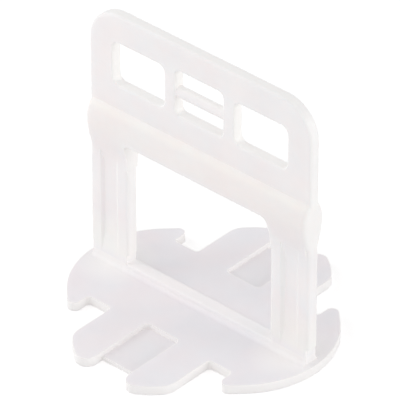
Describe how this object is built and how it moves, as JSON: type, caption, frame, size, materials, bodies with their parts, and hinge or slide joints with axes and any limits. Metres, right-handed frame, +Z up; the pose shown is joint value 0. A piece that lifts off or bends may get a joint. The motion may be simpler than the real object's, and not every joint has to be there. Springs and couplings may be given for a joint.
{
  "type": "tile levelling clip",
  "caption": "Moulded clip that holds two floor tiles level: a notched flat base, two thin break-off legs and a windowed plate with a thick band for a wedge.",
  "frame": {"origin": "middle of the underside of the base", "axes": "+Z up the plate, +X along the plate's width, +Y through the plate; the piece is the same on both sides of X = 0 and of Y = 0"},
  "size_m": [0.0416, 0.0406, 0.0435],
  "materials": {
    "natural_polypropylene": "satin translucent white"
  },
  "bodies": {
    "root": {"clip": "natural_polypropylene"}
  },
  "joints": []
}
